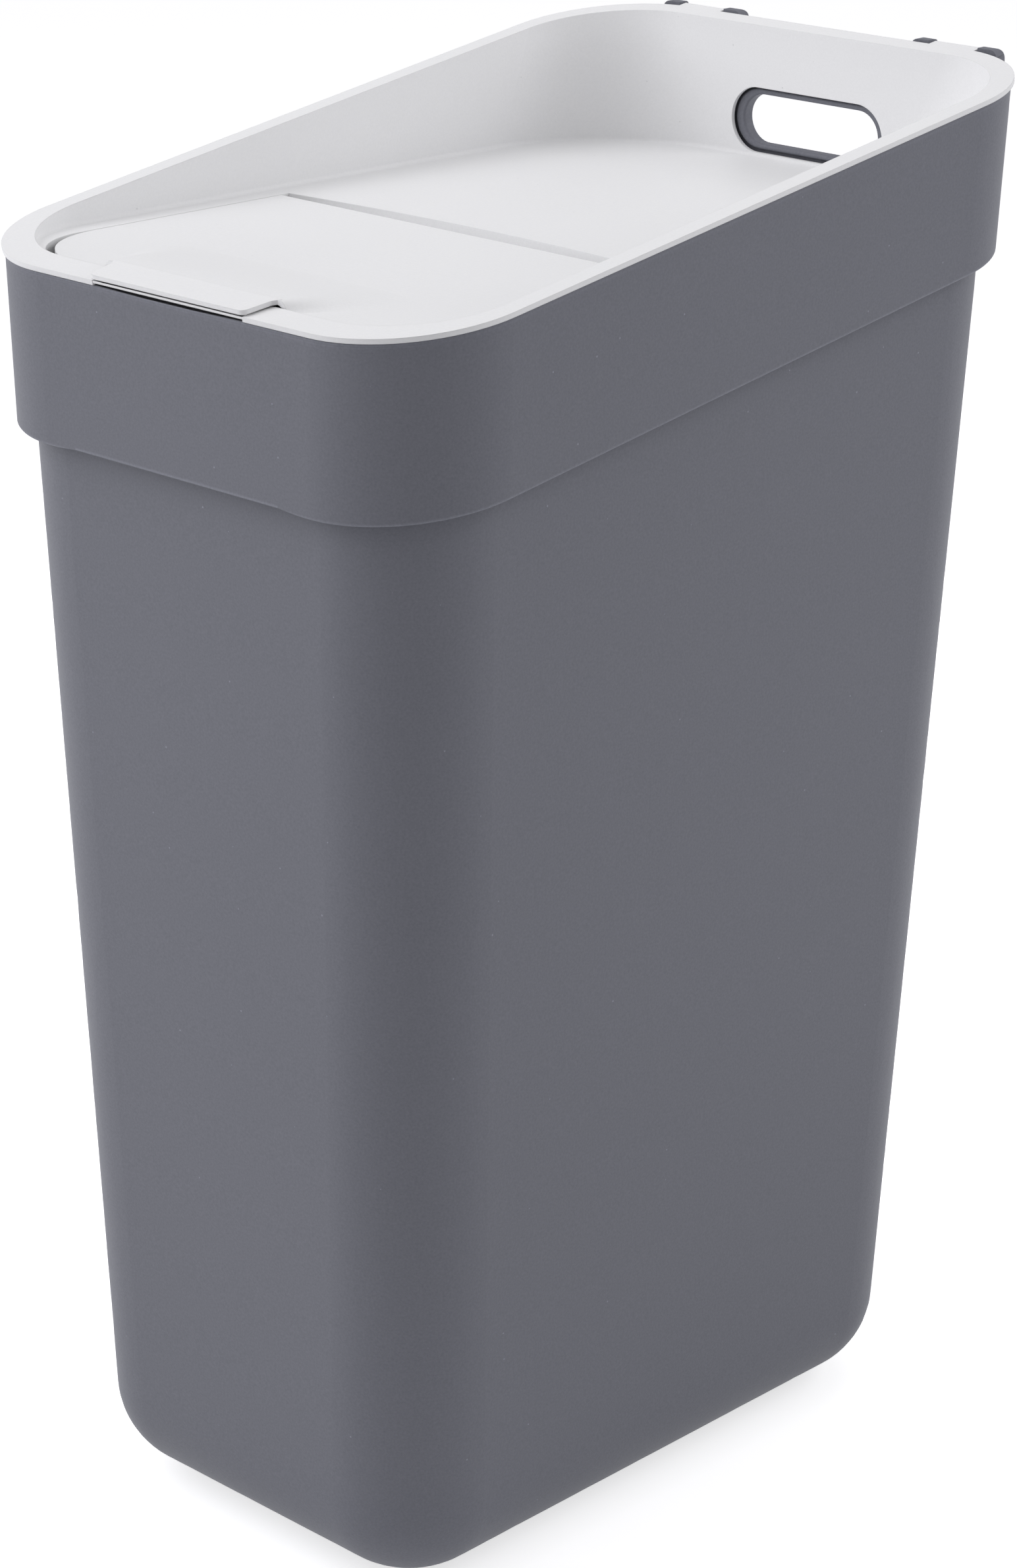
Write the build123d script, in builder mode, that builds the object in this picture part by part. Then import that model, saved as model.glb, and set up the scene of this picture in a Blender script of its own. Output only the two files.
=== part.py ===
from build123d import *
from math import cos, radians, sin, tan
import os

os.makedirs("parts", exist_ok=True)

# Lidded waste bin: a tapered bucket with a stepped collar, a lid whose rim slopes up to the
# back and sinks to a near-level panel, and a hinged flap with a lifting tab at the front.
# Front is -Y, up is +Z, lengths are millimetres and angles are degrees.

# Rim of the lid, seen from above
rim_width = 260.0
rim_depth = 377.0
rim_corner_radius = 53.0
rim_front_height = 538.1
rim_tilt = 8.25

# Bucket body
bottom_side_setback = 29.0
bottom_front_setback = 21.2
bottom_back_setback = 40.0
bottom_corner_radius = 43.0
shoulder_corner_radius = 46.0
bottom_edge_radius = 40.0
side_draft = 2.13
front_draft = 1.59
back_draft = 3.21
wall = 2.2
floor_thickness = 3.2

# Collar of the bucket, from its step to the lid
collar_height = 71.3
collar_side_setback = 3.5
collar_front_setback = 1.4
collar_back_setback = 3.6
collar_corner_radius = 52.6
collar_edge_radius = 0.8
ledge_thickness = 2.4
collar_relief_height = 1.2
collar_relief_width = 115.0
collar_relief_run = 16.0
collar_relief_depth = 4.0
scoop_depth = 0.6

# Lid
lid_edge_thickness = 2.0
lid_overhang = 0.9
lid_wall = 1.8
panel_thickness = 2.0
rim_side_width = 8.6
rim_back_width = 9.5
rim_front_width = 13.3
rim_inner_radius = 46.5
rim_edge_rounding = 0.6
well_foot_radius = 1.8
well_rear_foot_growth = 30.0
well_side_draft = 2.9
well_back_draft = 0.5
panel_drop = 1.6
panel_tilt = 0.72
notch_width = 84.0
notch_depth = 3.0
notch_rise = 1.0
skirt_thickness = 1.8
skirt_drop = 8.0
skirt_length = 92.0
skirt_clearance = 0.8
gusset_thickness = 1.6
gusset_drop = 14.0
gusset_clearance = 1.1
gusset_count = 4
catch_reach = 4.5

# Opening of the lid and the flap in it
opening_side_inset = 20.2
opening_corner_radius = 38.0
opening_rear_offset = 5.2
opening_bow = 6.7
opening_rib_thickness = 1.8
opening_rib_drop = 4.0
flap_gap = 0.5
flap_thickness = 2.0
flap_rear_offset = 1.6
flap_rear_rounding = 1.5
flap_lip_thickness = 1.8
flap_lip_drop = 8.5
flap_guard_thickness = 1.6
flap_guard_overlap = 1.0
flap_guard_inset = 12.0
flap_corner_radius = 45.0
flap_rib_thickness = 1.6
flap_rib_drop = 4.0
flap_rib_inset = 9.0

# Tongue and tab of the flap
tab_width = 86.2
tab_flare = 1.6
tab_reach = 0.7
tab_thickness = 1.8
tab_lift = 0.7
tab_corner_radius = 3.0
tab_root_run = 1.6
tongue_length = 60.0
tongue_side_step = 2.4
tongue_side_run = 6.6
tongue_side_spread = 40.0
tongue_side_inset = 1.2
tongue_dip = 0.3
tongue_shares = (0, 0.2, 0.4, 0.6, 0.8, 1)
tongue_swell_share = 0.35

# Hinge of the flap
hinge_setback = 159.5
hinge_depth = 4.5
pin_radius = 1.75
pin_clearance = 0.08
pin_length = 3.6
barrel_radius = 3.4
barrel_length = 7.0
hinge_ear_radius = 4.6
hinge_ear_thickness = 3.4

# Handle through the back
handle_width = 84.3
handle_height = 28.4
handle_drop = 40.1
sleeve_width = 84.4
sleeve_height = 26.8
sleeve_bore_width = 74.6
sleeve_bore_height = 21.6
sleeve_proud = 1.6
sleeve_clearance = 0.5
sleeve_rounding = 1.2

# Ears on the back of the collar
ear_reach = 6.5
ear_width = 10.0
ear_pitch = 35.6
ear_side_inset = 41.95
ear_height = 45.5
ear_run_out = 22.0
ear_rise = 3.5
ear_corner_radius = 1.5
ear_shoulder_radius = 4.0
ear_clearance = 0.8

# Feet
foot_radius = 8.0
foot_height = 3.0
foot_recess = 1.2
foot_clearance = 0.1
foot_inset_side = 39.1
foot_inset_end = 43.0
foot_edge_radius = 0.8

# Cuts run this far past what they cut
overrun = 6.0

# Places that follow from the sizes above
overall_depth = rim_depth + tab_reach + ear_reach
rim_front_y = tab_reach - overall_depth / 2
rim_back_y = rim_front_y + rim_depth
slope = tan(radians(rim_tilt))
lean = cos(radians(rim_tilt))
rim_level = rim_front_height - rim_front_y * slope
shoulder_level = rim_level - collar_height
bucket_top_level = rim_level - lid_edge_thickness
bottom_width = rim_width - 2 * bottom_side_setback
bottom_front_y = rim_front_y + bottom_front_setback
bottom_back_y = rim_back_y - bottom_back_setback
top_of_all = rim_level + rim_back_y * slope + overrun
inner_front_y = rim_front_y + rim_front_width
inner_back_y = rim_back_y - rim_back_width
panel_slope = -tan(radians(panel_tilt))
panel_level = rim_level + inner_front_y * (slope - panel_slope) - panel_drop
hinge_y = rim_front_y + hinge_setback
hinge_level = panel_level + hinge_y * panel_slope - hinge_depth
opening_half_width = rim_width / 2 - opening_side_inset
opening_rear_y = hinge_y + opening_rear_offset
flap_rear_y = hinge_y + flap_rear_offset
flap_half_width = opening_half_width - flap_gap
flap_front_y = inner_front_y + flap_gap
bucket_inset = lid_overhang + wall
ear_pair_x = rim_width / 2 - ear_side_inset - ear_pitch / 2
ear_gap = ear_pitch - ear_width


def sloped_plane(level):
    """Plane parallel to the rim whose height is level where Y is zero."""
    direction = (0, -sin(radians(rim_tilt)), lean)
    return Plane(origin=(0, 0, level), x_dir=(1, 0, 0), z_dir=direction)


def panel_plane(drop=0.0):
    """Plane of the sunken panel, lowered by drop."""
    direction = (0, sin(radians(panel_tilt)), cos(radians(panel_tilt)))
    return Plane(origin=(0, 0, panel_level - drop), x_dir=(1, 0, 0), z_dir=direction)


def upright_plane(y):
    """Upright plane across the bin, drawn as seen from the front."""
    return Plane(origin=(0, y, 0), x_dir=(1, 0, 0), z_dir=(0, -1, 0))


def rim_outline(plane, inset=0.0):
    """Outline of the rim on a plane parallel to it, drawn in by inset."""
    half_width = rim_width / 2 - inset
    front_y = (rim_front_y + inset) / lean
    back_y = (rim_back_y - inset) / lean
    radius = rim_corner_radius - inset
    return rounded_outline(plane, half_width, front_y, back_y, radius, radius)


def rounded_outline(plane, half_width, front_y, back_y, front_radius, back_radius):
    """Rectangle with a radius for its front corners and one for its back corners."""
    with BuildSketch(plane) as outline:
        with Locations((0, (front_y + back_y) / 2)):
            Rectangle(2 * half_width, back_y - front_y)
        fillet(outline.vertices().group_by(Axis.Y)[0], front_radius)
        fillet(outline.vertices().group_by(Axis.Y)[-1], back_radius)
    return outline.sketch


def body_outline(level, inset=0.0):
    """Level section of the bucket's tapered body."""
    rise = level - foot_height
    half_width = bottom_width / 2 + rise * tan(radians(side_draft)) - inset
    front_y = bottom_front_y - rise * tan(radians(front_draft)) + inset
    back_y = bottom_back_y + rise * tan(radians(back_draft)) - inset
    growth = (shoulder_corner_radius - bottom_corner_radius) * rise / shoulder_level
    radius = bottom_corner_radius + growth - inset
    return rounded_outline(Plane.XY.offset(level), half_width, front_y, back_y, radius, radius)


def collar_setback(lower_setback, drop):
    """Distance of the collar inside the rim's outline at a drop below the rim."""
    return lid_overhang + (lower_setback - lid_overhang) * drop / collar_height


def collar_outline(rise, inset=0.0):
    """Section of the collar, parallel to the rim, at a rise above its lower edge."""
    drop = collar_height - rise
    side = collar_setback(collar_side_setback, drop) + inset
    front = collar_setback(collar_front_setback, drop) + inset
    back = collar_setback(collar_back_setback, drop) + inset
    half_width = rim_width / 2 - side
    front_y = (rim_front_y + front) / lean
    back_y = (rim_back_y - back) / lean
    radius = collar_corner_radius - inset
    plane = sloped_plane(shoulder_level + rise)
    return rounded_outline(plane, half_width, front_y, back_y, radius, radius)


def well_outline(drop, outset=0.0):
    """Section of the lid's well, parallel to the rim, at a drop below it."""
    side = rim_side_width + drop * tan(radians(well_side_draft)) - outset
    front = rim_front_width - outset
    back = rim_back_width + drop * tan(radians(well_back_draft)) - outset
    rear_growth = well_rear_foot_growth * drop / collar_height
    half_width = rim_width / 2 - side
    front_y = (rim_front_y + front) / lean
    back_y = (rim_back_y - back) / lean
    front_radius = rim_inner_radius + outset
    back_radius = rim_inner_radius + rear_growth + outset
    plane = sloped_plane(rim_level - drop)
    return rounded_outline(plane, half_width, front_y, back_y, front_radius, back_radius)


# Solid forms that the walls lie between

with BuildPart() as body_outside:
    loft(sections=[body_outline(foot_height), body_outline(top_of_all)])
    fillet(body_outside.faces().sort_by(Axis.Z)[0].edges(), bottom_edge_radius)
    split(bisect_by=sloped_plane(shoulder_level + ledge_thickness), keep=Keep.BOTTOM)

with BuildPart() as body_inside:
    loft(sections=[body_outline(foot_height + floor_thickness, wall), body_outline(top_of_all, wall)])
    fillet(body_inside.faces().sort_by(Axis.Z)[0].edges(), bottom_edge_radius - wall)
    split(bisect_by=sloped_plane(rim_level - overrun), keep=Keep.BOTTOM)

with BuildPart() as collar_outside:
    loft(sections=[collar_outline(0), collar_outline(collar_height - lid_edge_thickness)])
    fillet(collar_outside.faces().sort_by(Axis.Z)[0].edges(), collar_edge_radius)

with BuildPart() as collar_inside:
    loft(sections=[collar_outline(ledge_thickness, wall), collar_outline(collar_height, wall)])

with BuildPart() as well_outside:
    loft(sections=[well_outline(0, lid_wall), well_outline(collar_height, lid_wall)])
    split(bisect_by=panel_plane(panel_thickness), keep=Keep.TOP)

with BuildPart() as well_inside:
    loft(sections=[well_outline(-overrun), well_outline(collar_height)])
    split(bisect_by=panel_plane(), keep=Keep.TOP)
    fillet(well_inside.faces().sort_by(Axis.Z)[0].edges(), well_foot_radius)

# Bucket

back_edge_height = bucket_top_level + (rim_back_y - bucket_inset) * slope
handle_centre = (0, back_edge_height - handle_drop)
sleeve_start_y = inner_back_y + lid_wall + sleeve_clearance
sleeve_end_y = rim_back_y - lid_overhang + sleeve_proud - lid_wall
sleeve_length = sleeve_end_y - sleeve_start_y
foot_half_spread = bottom_width / 2 - foot_inset_side
foot_front_y = bottom_front_y + foot_inset_end
foot_rear_y = bottom_back_y - foot_inset_end
front_edge_height = bucket_top_level + rim_front_y * slope
front_step_height = shoulder_level + (rim_front_y + collar_front_setback) * slope
ear_top = back_edge_height + ear_rise


def wall_centre_y(drop):
    """Middle of the collar's back wall at a drop below its top."""
    return rim_back_y - collar_setback(collar_back_setback, drop) - wall / 2


with BuildPart() as sleeve:
    with BuildSketch(upright_plane(sleeve_end_y)):
        with Locations(handle_centre):
            SlotOverall(sleeve_width, sleeve_height)
            SlotOverall(sleeve_bore_width, sleeve_bore_height, mode=Mode.SUBTRACT)
    extrude(amount=sleeve_length)
    fillet(sleeve.faces().sort_by(Axis.Y)[0].edges(), sleeve_rounding)
    fillet(sleeve.faces().sort_by(Axis.Y)[-1].edges(), sleeve_rounding)

# Pair of ears on the back of the collar, between which a catch of the lid sits
with BuildPart() as ear_pair:
    with BuildSketch(Plane.YZ) as ear_side_view:
        with BuildLine():
            Polyline(
                (wall_centre_y(0), back_edge_height),
                (rim_back_y + ear_clearance, back_edge_height),
                (rim_back_y + ear_clearance, ear_top),
                (rim_back_y + ear_reach, ear_top),
                (rim_back_y + ear_reach, ear_top - ear_height + ear_run_out),
                (wall_centre_y(ear_height), ear_top - ear_height),
                close=True,
            )
        make_face()
        fillet(ear_side_view.vertices().group_by(Axis.Y)[-1].sort_by(Axis.X)[-1], ear_corner_radius)
    extrude(amount=ear_gap / 2 + ear_width, both=True)
    with BuildSketch(upright_plane(rim_back_y + ear_reach)) as ear_back_view:
        with Locations((0, ear_top - ear_height / 2)):
            Rectangle(ear_gap + 2 * ear_width, ear_height)
            Rectangle(ear_gap, ear_height, mode=Mode.SUBTRACT)
        outer_top = ear_back_view.vertices().group_by(Axis.Y)[-1].sort_by(Axis.X)
        fillet([outer_top[0], outer_top[-1]], ear_shoulder_radius)
    extrude(amount=ear_height, both=True, mode=Mode.INTERSECT)

with BuildPart() as bucket:
    add(body_outside.part)
    add(collar_outside.part)
    add(body_inside.part, mode=Mode.SUBTRACT)
    add(collar_inside.part, mode=Mode.SUBTRACT)

    # Raised middle of the collar's lower edge at the front
    relief_half = collar_relief_width / 2
    with BuildSketch(upright_plane(rim_front_y + collar_front_setback + collar_relief_depth)):
        with BuildLine():
            Polyline(
                (-relief_half - collar_relief_run, front_step_height - overrun),
                (-relief_half - collar_relief_run, front_step_height),
                (-relief_half, front_step_height + collar_relief_height),
                (relief_half, front_step_height + collar_relief_height),
                (relief_half + collar_relief_run, front_step_height),
                (relief_half + collar_relief_run, front_step_height - overrun),
                close=True,
            )
        make_face()
    extrude(amount=collar_relief_depth + overrun, mode=Mode.SUBTRACT)

    # Shallow dip in the front edge, where a finger reaches under the tab
    with BuildSketch(upright_plane(rim_front_y + rim_front_width)):
        with BuildLine():
            ThreePointArc(
                (-notch_width / 2, front_edge_height),
                (0, front_edge_height - scoop_depth),
                (notch_width / 2, front_edge_height),
            )
            Polyline(
                (notch_width / 2, front_edge_height),
                (notch_width / 2, front_edge_height + overrun),
                (-notch_width / 2, front_edge_height + overrun),
                (-notch_width / 2, front_edge_height),
            )
        make_face()
    extrude(amount=rim_front_width + overrun, mode=Mode.SUBTRACT)

    # Handle hole, lined by its sleeve
    with BuildSketch(upright_plane(sleeve_end_y + overrun)):
        with Locations(handle_centre):
            SlotOverall(sleeve_bore_width + sleeve_rounding, sleeve_bore_height + sleeve_rounding)
    extrude(amount=sleeve_length + 2 * overrun, mode=Mode.SUBTRACT)
    add(sleeve.part)

    with Locations((-ear_pair_x, 0, 0), (ear_pair_x, 0, 0)):
        add(ear_pair.part)

    # Recesses for the feet
    with BuildSketch():
        with Locations((0, (foot_front_y + foot_rear_y) / 2)):
            with GridLocations(2 * foot_half_spread, foot_rear_y - foot_front_y, 2, 2):
                Circle(foot_radius + foot_clearance)
    extrude(amount=foot_height + foot_recess, mode=Mode.SUBTRACT)

bucket.part.label = "bucket"
export_step(bucket.part, "parts/bucket.step")

# Lid

edge_plane = sloped_plane(bucket_top_level)


def opening_outline(outset=0.0):
    """Opening of the lid from above, straight at the front and bowed at the rear."""
    half_width = opening_half_width + outset
    rear_y = opening_rear_y + outset
    with BuildSketch(Plane.XY.offset(rim_level)) as outline:
        with BuildLine():
            ThreePointArc((-half_width, rear_y), (0, rear_y + opening_bow), (half_width, rear_y))
            Polyline(
                (half_width, rear_y),
                (half_width, inner_front_y - outset),
                (-half_width, inner_front_y - outset),
                (-half_width, rear_y),
            )
        make_face()
        fillet(outline.vertices().group_by(Axis.Y)[0], opening_corner_radius + outset)
    return outline.sketch


with BuildPart() as opening_rib:
    extrude(opening_outline(opening_rib_thickness), amount=-collar_height)
    split(bisect_by=panel_plane(panel_thickness / 2), keep=Keep.BOTTOM)
    split(bisect_by=panel_plane(panel_thickness + opening_rib_drop), keep=Keep.TOP)

with BuildPart() as skirt:
    skirt_inset = bucket_inset + skirt_clearance
    extrude(rim_outline(edge_plane, skirt_inset), amount=-skirt_drop)
    extrude(rim_outline(edge_plane, skirt_inset + skirt_thickness), amount=-skirt_drop, mode=Mode.SUBTRACT)
    split(bisect_by=upright_plane(rim_front_y + skirt_length), keep=Keep.TOP)
    with BuildSketch(edge_plane):
        with Locations((0, (rim_front_y + skirt_inset) / lean)):
            Rectangle(notch_width + 2 * skirt_thickness, 2 * skirt_inset)
    extrude(amount=-skirt_drop, mode=Mode.SUBTRACT)

with BuildPart() as lid:
    extrude(rim_outline(edge_plane), amount=lid_edge_thickness * lean)
    with BuildSketch(edge_plane):
        with Locations((0, (rim_back_y + catch_reach / 2 - lid_wall / 2) / lean)):
            with GridLocations(2 * ear_pair_x, 0, 2, 1):
                Rectangle(ear_gap - 2 * ear_clearance, catch_reach + lid_wall)
    extrude(amount=lid_edge_thickness * lean)
    fillet(lid.faces().sort_by(Axis.Z)[-1].edges(), rim_edge_rounding)
    add(well_outside.part)
    add(skirt.part)
    add(opening_rib.part)

    # Ribs that centre the lid in the collar
    with BuildSketch(edge_plane):
        side_reach = rim_side_width - lid_wall / 2 - bucket_inset - gusset_clearance
        side_x = rim_width / 2 - bucket_inset - gusset_clearance - side_reach / 2
        gusset_front_y = rim_front_y + skirt_length
        gusset_back_y = rim_back_y - rim_corner_radius
        gusset_pitch = (gusset_back_y - gusset_front_y) / gusset_count / lean
        with Locations((0, (gusset_front_y + gusset_back_y) / 2 / lean)):
            with GridLocations(2 * side_x, gusset_pitch, 2, gusset_count):
                Rectangle(side_reach, gusset_thickness)
        back_reach = rim_back_width - lid_wall / 2 - bucket_inset - gusset_clearance
        back_reach -= gusset_drop * slope
        back_y = (inner_back_y + lid_wall / 2 + back_reach / 2) / lean
        with Locations((0, back_y)):
            with GridLocations(2 * ear_pair_x, 0, 2, 1):
                Rectangle(gusset_thickness, back_reach)
    extrude(amount=-gusset_drop)

    # Ears under the panel that hold the pins of the flap
    for side in (-1, 1):
        with BuildSketch(Plane.YZ.offset(side * opening_half_width)):
            with Locations((hinge_y, hinge_level)):
                Circle(hinge_ear_radius)
            with Locations((hinge_y, hinge_level + hinge_depth / 2)):
                Rectangle(2 * hinge_ear_radius, hinge_depth - panel_thickness)
        extrude(amount=side * hinge_ear_thickness)

    add(well_inside.part, mode=Mode.SUBTRACT)
    extrude(opening_outline(), amount=-collar_height, mode=Mode.SUBTRACT)

    # Bores for the pins
    with BuildSketch(Plane.YZ.offset(-rim_width / 2)):
        with Locations((hinge_y, hinge_level)):
            Circle(pin_radius + pin_clearance)
    extrude(amount=rim_width, mode=Mode.SUBTRACT)

    # Hole in the back wall in front of the handle sleeve
    with BuildSketch(upright_plane(rim_back_y)):
        with Locations(handle_centre):
            SlotOverall(handle_width, handle_height)
    extrude(amount=rim_back_width + overrun, mode=Mode.SUBTRACT)

    # Notch in the front edge under the tab, and a thinner edge behind it for the fingers
    with BuildSketch(edge_plane):
        with Locations((0, (rim_front_y + notch_depth / 2) / lean)):
            Rectangle(notch_width, notch_depth)
    extrude(amount=overrun, both=True, mode=Mode.SUBTRACT)
    with BuildSketch(edge_plane):
        with Locations((0, rim_front_y / lean)):
            Rectangle(notch_width, rim_front_width)
    extrude(amount=notch_rise, mode=Mode.SUBTRACT)

lid.part.label = "lid"
export_step(lid.part, "parts/lid.step")

# Flap

flap_plane = panel_plane()
tab_front_y = rim_front_y - tab_reach
tab_root_y = flap_front_y - tab_root_run
tab_rear_y = flap_front_y + tab_root_run
tab_top_level = rim_level + tab_lift + tab_thickness
tab_root_half = tab_width / 2 + tab_flare
tongue_half_width = tab_root_half + tongue_side_step
corner_room = flap_half_width - tongue_half_width - tongue_side_run
plate_corner_radius = min(flap_corner_radius, corner_room)


def panel_height(y):
    """Height of the panel's upper face at y."""
    return panel_level + y * panel_slope


tongue_rise = tab_top_level + flap_front_y * slope - panel_height(flap_front_y)


def tongue_section(share, base_drop, sink=0.0, inset=0.0):
    """Upright section of the tongue at a share of its length, with an S-shaped flank each side.

    Its top leaves the tab at a share of the tab's slope and sinks smoothly into the plate.
    """
    y = flap_front_y + share * tongue_length
    swell = tongue_swell_share * (slope - panel_slope) * tongue_length * share * (1 - share) ** 2
    fade = (1 - share) ** 2 * (1 + 2 * share)
    rise = (tongue_rise + tongue_dip) * fade + swell - tongue_dip
    top = panel_height(y) + rise - sink
    foot = panel_height(y) - tongue_dip - sink
    base = panel_height(y) - base_drop
    top_half = tongue_half_width - inset
    foot_half = top_half + tongue_side_run + tongue_side_spread * share
    bend = (top_half + foot_half) / 2
    with BuildSketch(upright_plane(y)) as section:
        with BuildLine():
            Bezier((foot_half, foot), (bend, foot), (bend, top), (top_half, top))
            Line((top_half, top), (-top_half, top))
            Bezier((-top_half, top), (-bend, top), (-bend, foot), (-foot_half, foot))
            Polyline((-foot_half, foot), (-foot_half, base), (foot_half, base), (foot_half, foot))
        make_face()
    return section.sketch


with BuildPart() as tongue_outside:
    base_drop = flap_thickness / 2
    loft(sections=[tongue_section(share, base_drop) for share in tongue_shares])

with BuildPart() as tongue_inside:
    base_drop = 2 * flap_thickness
    sink = tab_thickness
    loft(sections=[tongue_section(share, base_drop, sink, tongue_side_inset) for share in tongue_shares])

with BuildPart() as flap:
    # Plate, flush with the lid's panel
    with BuildSketch(flap_plane) as plate:
        with Locations((0, (flap_front_y + flap_rear_y) / 2)):
            Rectangle(2 * flap_half_width, flap_rear_y - flap_front_y)
        fillet(plate.vertices().group_by(Axis.Y)[0], plate_corner_radius)
    extrude(amount=-flap_thickness)
    fillet(flap.edges().group_by(Axis.Y)[-1].sort_by(Axis.Z)[-1], flap_rear_rounding)
    add(tongue_outside.part)
    add(tongue_inside.part, mode=Mode.SUBTRACT)

    # Tab over the front rim
    with BuildSketch(sloped_plane(rim_level + tab_lift)) as tab:
        with BuildLine():
            Polyline(
                (-tongue_half_width, tab_rear_y / lean),
                (-tab_root_half, tab_root_y / lean),
                (-tab_width / 2, tab_front_y / lean),
                (tab_width / 2, tab_front_y / lean),
                (tab_root_half, tab_root_y / lean),
                (tongue_half_width, tab_rear_y / lean),
                close=True,
            )
        make_face()
        fillet(tab.vertices().group_by(Axis.Y)[0], tab_corner_radius)
    extrude(amount=tab_thickness * lean)

    # Down-turned lip at the rear and a barrel with a pin at each end
    with BuildSketch(panel_plane(flap_thickness / 2)):
        with Locations((0, flap_rear_y - flap_lip_thickness / 2)):
            Rectangle(2 * (flap_half_width - barrel_length / 2), flap_lip_thickness)
    extrude(amount=flap_thickness / 2 - flap_lip_drop)

    # Guard under the panel's front edge, which closes the gap behind the lip
    with BuildSketch(panel_plane(flap_lip_drop)):
        guard_back_y = opening_rear_y + opening_bow + opening_rib_thickness + flap_guard_overlap
        guard_front_y = flap_rear_y - flap_lip_thickness / 2
        with Locations((0, (guard_front_y + guard_back_y) / 2)):
            Rectangle(2 * (flap_half_width - flap_guard_inset), guard_back_y - guard_front_y)
    extrude(amount=flap_guard_thickness)

    for side in (-1, 1):
        with BuildSketch(Plane.YZ.offset(side * (flap_half_width - barrel_length))):
            with Locations((hinge_y, hinge_level)):
                Circle(barrel_radius)
        extrude(amount=side * barrel_length)
        with BuildSketch(Plane.YZ.offset(side * flap_half_width)):
            with Locations((hinge_y, hinge_level)):
                Circle(pin_radius)
        extrude(amount=side * pin_length)

    # Stiffening rib under the edge
    with BuildSketch(panel_plane(flap_thickness / 2)) as rib:
        with Locations((0, (flap_front_y + flap_rear_y) / 2)):
            inner_depth = flap_rear_y - flap_front_y - 2 * flap_rib_inset
            Rectangle(2 * (flap_half_width - flap_rib_inset), inner_depth)
        fillet(rib.vertices().group_by(Axis.Y)[0], plate_corner_radius - flap_rib_inset)
        offset(amount=-flap_rib_thickness, mode=Mode.SUBTRACT)
    extrude(amount=-flap_thickness / 2 - flap_rib_drop)

flap.part.label = "flap"
export_step(flap.part, "parts/flap.step")

# Feet, pressed into the recesses of the bucket

foot_places = {
    "foot_front_left": (-foot_half_spread, foot_front_y),
    "foot_front_right": (foot_half_spread, foot_front_y),
    "foot_rear_left": (-foot_half_spread, foot_rear_y),
    "foot_rear_right": (foot_half_spread, foot_rear_y),
}

for name, place in foot_places.items():
    with BuildPart() as foot:
        with BuildSketch():
            with Locations(place):
                Circle(foot_radius)
        extrude(amount=foot_height + foot_recess)
        fillet(foot.faces().sort_by(Axis.Z)[0].edges(), foot_edge_radius)
    foot.part.label = name
    export_step(foot.part, f"parts/{name}.step")
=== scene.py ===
from math import cos, radians, sin

import bpy
from mathutils import Euler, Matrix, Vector

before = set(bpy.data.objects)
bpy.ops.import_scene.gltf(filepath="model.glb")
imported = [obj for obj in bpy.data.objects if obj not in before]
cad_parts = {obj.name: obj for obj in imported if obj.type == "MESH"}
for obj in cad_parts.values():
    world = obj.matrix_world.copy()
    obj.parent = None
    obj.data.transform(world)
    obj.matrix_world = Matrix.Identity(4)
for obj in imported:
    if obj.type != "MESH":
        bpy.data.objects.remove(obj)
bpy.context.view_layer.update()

# The photograph's frame and the camera that fits it, pixels and metres
PHOTO_WIDTH = 1544
PHOTO_HEIGHT = 2380
FOCAL_PIXELS = 6198.6
CENTRE_COLUMN = 761.9
CENTRE_ROW = 1191.4
CAMERA_PLACE = Vector((1.1269, -1.1713, 0.8914))
CAMERA_AZIMUTH = 44.194
CAMERA_ELEVATION = 20.154
CAMERA_REACH = 50
SENSOR = 36.0

# Light and tint of the pale room, and what the camera sees of it
ROOM_LEVEL = 0.41
ROOM_TINT = (0.98, 0.975, 1.0, 1)
WHITE = (1, 1, 1, 1)

# Floor, and the share of its own white that it shows
FLOOR_SIZE = 24
FLOOR_COLOUR = (0.8, 0.8, 0.81, 1)
FLOOR_ROUGHNESS = 0.9
FLOOR_GLOW = 0.64

# Broad clouds, fine specks and shallow ripples of moulded plastic, per metre, and the breaks in
# the painted light and shade along its edges
CLOUD = {"Scale": 9.0, "Detail": 3.0, "Roughness": 0.5}
SPECK = {"Scale": 1000.0, "Detail": 3.0, "Roughness": 0.6}
RIPPLE = {"Scale": 14.0, "Detail": 1.0, "Roughness": 0.4}
BREAK = {"Scale": 90.0, "Detail": 2.0, "Roughness": 0.6}

# How far clouds and specks shift the plastic's colour, and its few odd grains
CLOUD_SHARE = 0.5
SPECK_SHARE = 1.8
GRIT_PER_METRE = 71.0
GRIT_RADIUS = 0.0004

# Sheen, depth of the relief in metres, and the radius that moulded edges seem to be rounded to
ROUGHNESS_SPREAD = 0.05
SPECULAR_LEVEL = 0.3
GRAIN_DEPTH = 0.0002
RIPPLE_DEPTH = 0.002
RIPPLE_STRENGTH = 0.05
EDGE_SOFTNESS = 0.0005
EDGE_SAMPLES = 6

# Seam between lid and collar: its height where Y is zero, its slope and how far its painted light
# and shade reach
SEAM_LEVEL = 0.56385
SEAM_SLOPE = 0.14499
SEAM_REACH = 0.006

# Brightness below the seam by share of that reach, on the front and the sides: a painted shadow
# under the lid's edge, a painted highlight on the collar's rounded top edge and fine moulded
# lines drawn as painted light and shade
FRONT_PAINTED_LIGHT_AND_SHADE = (
    (0.0, 0.45), (0.05, 0.6), (0.15, 1.32), (0.22, 1.22), (0.26, 1.06), (0.32, 1.18), (0.4, 1.05),
    (0.6, 1.03), (0.63, 0.97), (0.69, 1.03), (0.75, 1.0),
)
SIDE_PAINTED_LIGHT_AND_SHADE = ((0.0, 0.5), (0.05, 0.9), (0.13, 1.0), (0.3, 1.12), (0.42, 1.03), (0.6, 1.0))
MARK_SCALE = 1.5
MARK_BLEND = 0.1
BREAK_LEAST = 0.4
BREAK_SPREAD = 1.2

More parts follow.
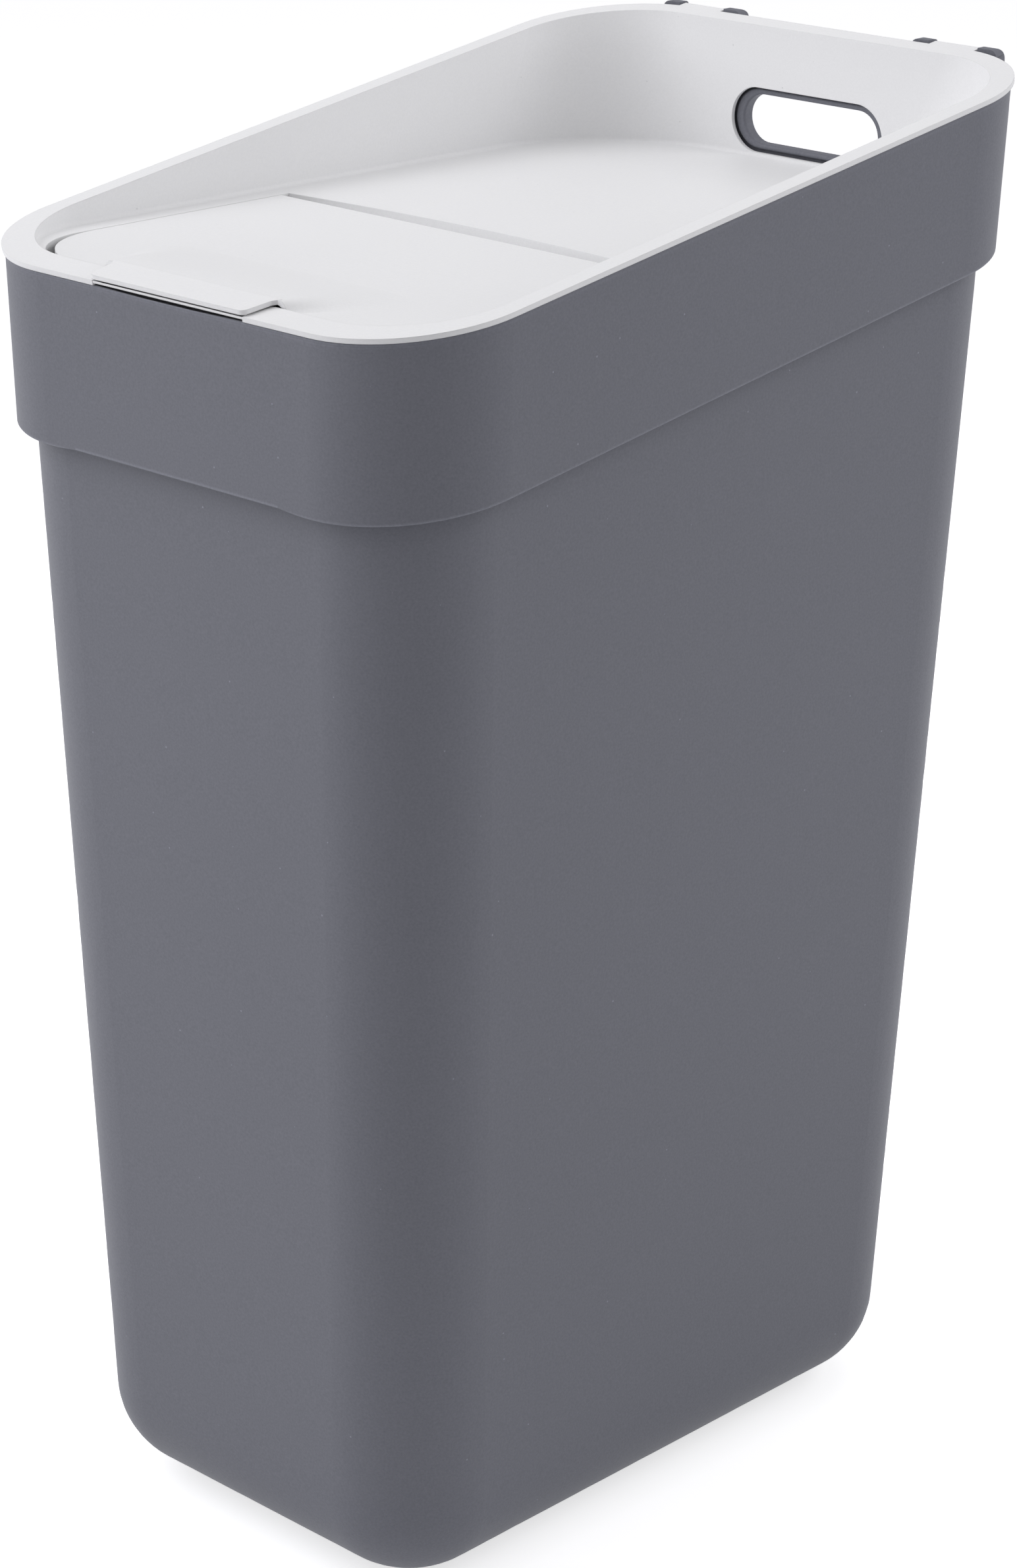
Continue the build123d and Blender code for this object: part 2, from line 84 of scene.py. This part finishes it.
# Painted shade on the collar's top edge in the gap under the lid: the band it lies in and how
# dark the painted shade is
GAP_ABOVE = 0.0003
GAP_BELOW = 0.0012
GAP_SHADE = 0.85

# Painted highlight along the collar's lower edge: how far below the seam that edge is, and the
# painted highlight's middle above it, reach and strength, and how far the middle of the front
# edge is raised
STEP_DROP = 0.0693
STEP_RAISE = 0.0012
STEP_RAISE_HALF = 0.0575
STEP_HIGHLIGHT_RISE = 0.0005
STEP_HIGHLIGHT_REACH = 0.0009
STEP_HIGHLIGHT_GAIN = 0.32

# Least part of its normal with which a face counts as facing up or facing the front
UP_FACING = 0.6
FRONT_FACING = 0.5


def make_camera():
    """Camera at the photograph's viewing angle."""
    data = bpy.data.cameras.new("camera")
    data.sensor_width = SENSOR
    data.lens = SENSOR * FOCAL_PIXELS / PHOTO_HEIGHT
    data.shift_x = (PHOTO_WIDTH / 2 - CENTRE_COLUMN) / PHOTO_HEIGHT
    data.shift_y = (CENTRE_ROW - PHOTO_HEIGHT / 2) / PHOTO_HEIGHT
    data.clip_end = CAMERA_REACH
    camera = bpy.data.objects.new("camera", data)
    camera.location = CAMERA_PLACE
    camera.rotation_euler = Euler((radians(90 - CAMERA_ELEVATION), 0, radians(CAMERA_AZIMUTH)))
    bpy.context.scene.collection.objects.link(camera)
    bpy.context.scene.camera = camera


def area_light(name, azimuth, elevation, distance, size, power, tint, target_height):
    """Rectangular soft box that faces a point on the axis from an azimuth and elevation."""
    data = bpy.data.lights.new(name, "AREA")
    data.shape = "RECTANGLE"
    data.size, data.size_y = size
    data.energy = power
    data.color = tint
    light = bpy.data.objects.new(name, data)
    a, e = radians(azimuth), radians(elevation)
    away = Vector((sin(a) * cos(e), -cos(a) * cos(e), sin(e)))
    light.location = Vector((0, 0, target_height)) + distance * away
    light.rotation_euler = away.to_track_quat("Z", "Y").to_euler()
    bpy.context.scene.collection.objects.link(light)


class Tree:
    """Short way to add and join the nodes of one material or world."""

    def __init__(self, owner, shader):
        owner.use_nodes = True
        self.owner = owner
        self.nodes = owner.node_tree.nodes
        self.links = owner.node_tree.links
        self.shader = self.nodes[shader]

    def fill(self, node, **values):
        """Sets or links a node's sockets and settings; _ is a space in a socket's name."""
        for key, value in values.items():
            socket = node.inputs.get(key.replace("_", " "))
            if socket is None:
                setattr(node, key, value)
            elif isinstance(value, bpy.types.NodeSocket):
                self.links.new(value, socket)
            else:
                socket.default_value = value
        return node

    def add(self, kind, **values):
        """New node with its sockets and settings."""
        return self.fill(self.nodes.new(kind), **values)

    def calc(self, operation, *values):
        """Math node whose inputs are numbers or outputs of other nodes."""
        node = self.add("ShaderNodeMath", operation=operation)
        for place, value in enumerate(values):
            if isinstance(value, bpy.types.NodeSocket):
                self.links.new(value, node.inputs[place])
            else:
                node.inputs[place].default_value = value
        return node.outputs["Value"]

    def tinge(self, factor):
        """Multiplies the linked base colour of the shader by a factor."""
        colour = self.shader.inputs["Base Color"].links[0].from_socket
        scaled = self.add("ShaderNodeVectorMath", operation="SCALE", Vector=colour, Scale=factor)
        self.fill(self.shader, Base_Color=scaled.outputs["Vector"])

    def ramp(self, value, stops):
        """Curve of brightness over a value from 0 to 1."""
        node = self.add("ShaderNodeValToRGB", Fac=value)
        elements = node.color_ramp.elements
        while len(elements) < len(stops):
            elements.new(1.0)
        for element, (place, level) in zip(elements, stops):
            element.position = place
            element.color = (level / MARK_SCALE,) * 3 + (1,)
        return self.calc("MULTIPLY", node.outputs["Color"], MARK_SCALE)


def make_light():
    """Soft studio light: a box on each side and one overhead, in a pale room."""
    area_light(
        "left_box", azimuth=-44, elevation=34, distance=2.2, size=(1.6, 2.2),
        power=29, tint=(0.975, 0.975, 1.0), target_height=0.3,
    )
    area_light(
        "right_box", azimuth=132, elevation=34, distance=2.0, size=(1.4, 1.2),
        power=12.5, tint=(0.985, 0.985, 1.0), target_height=0.25,
    )
    area_light(
        "top_box", azimuth=225, elevation=76, distance=1.8, size=(2.0, 2.0),
        power=8, tint=(1.0, 1.0, 1.0), target_height=0.3,
    )
    t = Tree(bpy.data.worlds.new("room"), "Background")
    seen = t.add("ShaderNodeLightPath").outputs["Is Camera Ray"]
    tint = t.add("ShaderNodeMixRGB", Fac=seen, Color1=ROOM_TINT, Color2=WHITE)
    level = t.add("ShaderNodeMapRange", Value=seen, To_Min=ROOM_LEVEL, To_Max=1.0)
    t.fill(t.shader, Color=tint.outputs["Color"], Strength=level.outputs["Result"])
    bpy.context.scene.world = t.owner


def moulded_plastic(name, dark, light, roughness, grain, grit_gain):
    """Matte moulded plastic: fine grain, faint cloudiness, a few odd grains and soft sheen."""
    t = Tree(bpy.data.materials.new(name), "Principled BSDF")
    place = t.add("ShaderNodeTexCoord").outputs["Object"]
    cloud = t.add("ShaderNodeTexNoise", Vector=place, **CLOUD).outputs["Fac"]
    speck = t.add("ShaderNodeTexNoise", Vector=place, **SPECK).outputs["Fac"]
    ripple = t.add("ShaderNodeTexNoise", Vector=place, **RIPPLE).outputs["Fac"]
    grit = t.add("ShaderNodeTexVoronoi", Vector=place, Scale=GRIT_PER_METRE).outputs["Distance"]

    centred = (1 - CLOUD_SHARE - SPECK_SHARE) / 2
    clouded = t.calc("MULTIPLY_ADD", cloud, CLOUD_SHARE, centred)
    mixed = t.calc("MULTIPLY_ADD", speck, SPECK_SHARE, clouded)
    tint = t.add("ShaderNodeMixRGB", Fac=mixed, Color1=dark, Color2=light)
    t.fill(t.shader, Base_Color=tint.outputs["Color"])
    dotted = t.calc("LESS_THAN", grit, GRIT_RADIUS * GRIT_PER_METRE)
    t.tinge(t.calc("MULTIPLY_ADD", dotted, grit_gain, 1.0))

    gloss = t.add(
        "ShaderNodeMapRange", Value=cloud,
        To_Min=roughness - ROUGHNESS_SPREAD, To_Max=roughness + ROUGHNESS_SPREAD,
    )
    edge = t.add("ShaderNodeBevel", samples=EDGE_SAMPLES, Radius=EDGE_SOFTNESS)
    fine = t.add(
        "ShaderNodeBump", Strength=grain, Distance=GRAIN_DEPTH,
        Height=speck, Normal=edge.outputs["Normal"],
    )
    soft = t.add(
        "ShaderNodeBump", Strength=RIPPLE_STRENGTH, Distance=RIPPLE_DEPTH,
        Height=ripple, Normal=fine.outputs["Normal"],
    )
    t.fill(
        t.shader, Roughness=gloss.outputs["Result"], Specular_IOR_Level=SPECULAR_LEVEL,
        Normal=soft.outputs["Normal"],
    )
    return t


def seam_painted_light_and_shade(t, place, drop, sides):
    """Change of brightness below the seam on the faces of each side: a painted shadow under the
    lid's edge, a painted highlight on the collar's rounded top edge and fine broken moulded lines
    drawn as painted light and shade.
    """
    share = t.calc("DIVIDE", drop, SEAM_REACH)
    below = t.calc("GREATER_THAN", drop, 0.0)
    change = None
    for marks, facing in sides:
        facing = t.calc("SMOOTH_MIN", t.calc("MAXIMUM", facing, 0.0), 1.0, MARK_BLEND)
        weight = t.calc("MULTIPLY", facing, below)
        weight = t.calc("MULTIPLY", weight, weight)
        part = t.calc("MULTIPLY", t.calc("SUBTRACT", t.ramp(share, marks), 1.0), weight)
        change = part if change is None else t.calc("ADD", change, part)
    broken = t.add("ShaderNodeTexNoise", Vector=place, **BREAK).outputs["Fac"]
    return t.calc("MULTIPLY", change, t.calc("MULTIPLY_ADD", broken, BREAK_SPREAD, BREAK_LEAST))


def seam_gap_painted_shade(t, drop, up):
    """Painted shade on the collar's top edge, which the lid covers, where it shows in the gap
    under the lid.
    """
    top = t.calc("GREATER_THAN", up, UP_FACING)
    under = t.calc("GREATER_THAN", drop, -GAP_ABOVE)
    near = t.calc("MULTIPLY", under, t.calc("LESS_THAN", drop, GAP_BELOW))
    return t.calc("MULTIPLY", t.calc("MULTIPLY", top, near), -GAP_SHADE)


def step_painted_highlight(t, drop, across, ahead, outwards):
    """Change of brightness in the painted highlight along the collar's lower edge, outside only.
    """
    middle = t.calc("LESS_THAN", t.calc("ABSOLUTE", across), STEP_RAISE_HALF)
    raised = t.calc("MULTIPLY", middle, t.calc("GREATER_THAN", ahead, FRONT_FACING))
    level = t.calc("MULTIPLY_ADD", raised, -STEP_RAISE, STEP_DROP - STEP_HIGHLIGHT_RISE)
    away = t.calc("ABSOLUTE", t.calc("SUBTRACT", level, drop))
    line = t.calc("ADD", t.calc("DIVIDE", away, -STEP_HIGHLIGHT_REACH), 1.0)
    outside = t.calc("GREATER_THAN", outwards, 0.0)
    lit = t.calc("MULTIPLY", t.calc("MAXIMUM", line, 0.0), outside)
    return t.calc("MULTIPLY", lit, STEP_HIGHLIGHT_GAIN)


def paint_collar_light_and_shade(t):
    """Adds to the grey plastic the painted shadow, painted highlight and fine lines below the
    seam, the painted shade on the collar's top edge in the gap and the painted highlight along
    its lower edge.
    """
    spot = t.add("ShaderNodeTexCoord")
    place = spot.outputs["Object"]
    x, y, z = t.add("ShaderNodeSeparateXYZ", Vector=place).outputs
    right, back, up = t.add("ShaderNodeSeparateXYZ", Vector=spot.outputs["Normal"]).outputs
    ahead = t.calc("MULTIPLY", back, -1.0)
    sideways = t.calc("MULTIPLY", right, t.calc("SIGN", x))
    outwards = t.calc("MULTIPLY_ADD", back, y, t.calc("MULTIPLY", right, x))
    drop = t.calc("SUBTRACT", t.calc("MULTIPLY_ADD", y, SEAM_SLOPE, SEAM_LEVEL), z)
    marks = seam_painted_light_and_shade(t, place, drop, ((FRONT_PAINTED_LIGHT_AND_SHADE, ahead), (SIDE_PAINTED_LIGHT_AND_SHADE, sideways)))
    factor = t.calc("ADD", t.calc("ADD", marks, 1.0), seam_gap_painted_shade(t, drop, up))
    t.tinge(t.calc("ADD", factor, step_painted_highlight(t, drop, x, ahead, outwards)))


def dress(tree, *nodes):
    """Gives CAD nodes the material of a tree."""
    for node in nodes:
        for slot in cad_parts[node].material_slots:
            slot.material = tree.owner


def make_floor():
    """Plain pale floor that is white to the camera and keeps the shadow."""
    bpy.ops.mesh.primitive_plane_add(size=FLOOR_SIZE)
    floor = bpy.context.object
    floor.name = "floor"
    t = Tree(bpy.data.materials.new("floor_white"), "Principled BSDF")
    path = t.add("ShaderNodeLightPath").outputs
    seen = t.calc("MAXIMUM", path["Is Camera Ray"], path["Is Glossy Ray"])
    t.fill(
        t.shader, Base_Color=FLOOR_COLOUR, Roughness=FLOOR_ROUGHNESS, Specular_IOR_Level=0.0,
        Emission_Color=WHITE, Emission_Strength=t.calc("MULTIPLY", seen, FLOOR_GLOW),
    )
    floor.data.materials.append(t.owner)


make_camera()
make_light()
make_floor()

grey = moulded_plastic(
    "grey_plastic", dark=(0.136, 0.141, 0.165, 1), light=(0.175, 0.179, 0.206, 1),
    roughness=0.55, grain=0.25, grit_gain=0.6,
)
white = moulded_plastic(
    "white_plastic", dark=(0.79, 0.79, 0.795, 1), light=(0.83, 0.83, 0.835, 1),
    roughness=0.5, grain=0.15, grit_gain=-0.15,
)
rubber = moulded_plastic(
    "foot_rubber", dark=(0.02, 0.02, 0.02, 1), light=(0.03, 0.03, 0.03, 1),
    roughness=0.7, grain=0.4, grit_gain=0.0,
)
# Painted shadow, highlight and shade along the collar's seam and its lower edge
paint_collar_light_and_shade(grey)
dress(grey, "bucket")
dress(white, "lid", "flap")
dress(rubber, "foot_front_left", "foot_front_right", "foot_rear_left", "foot_rear_right")

bpy.context.scene.view_settings.view_transform = "Standard"
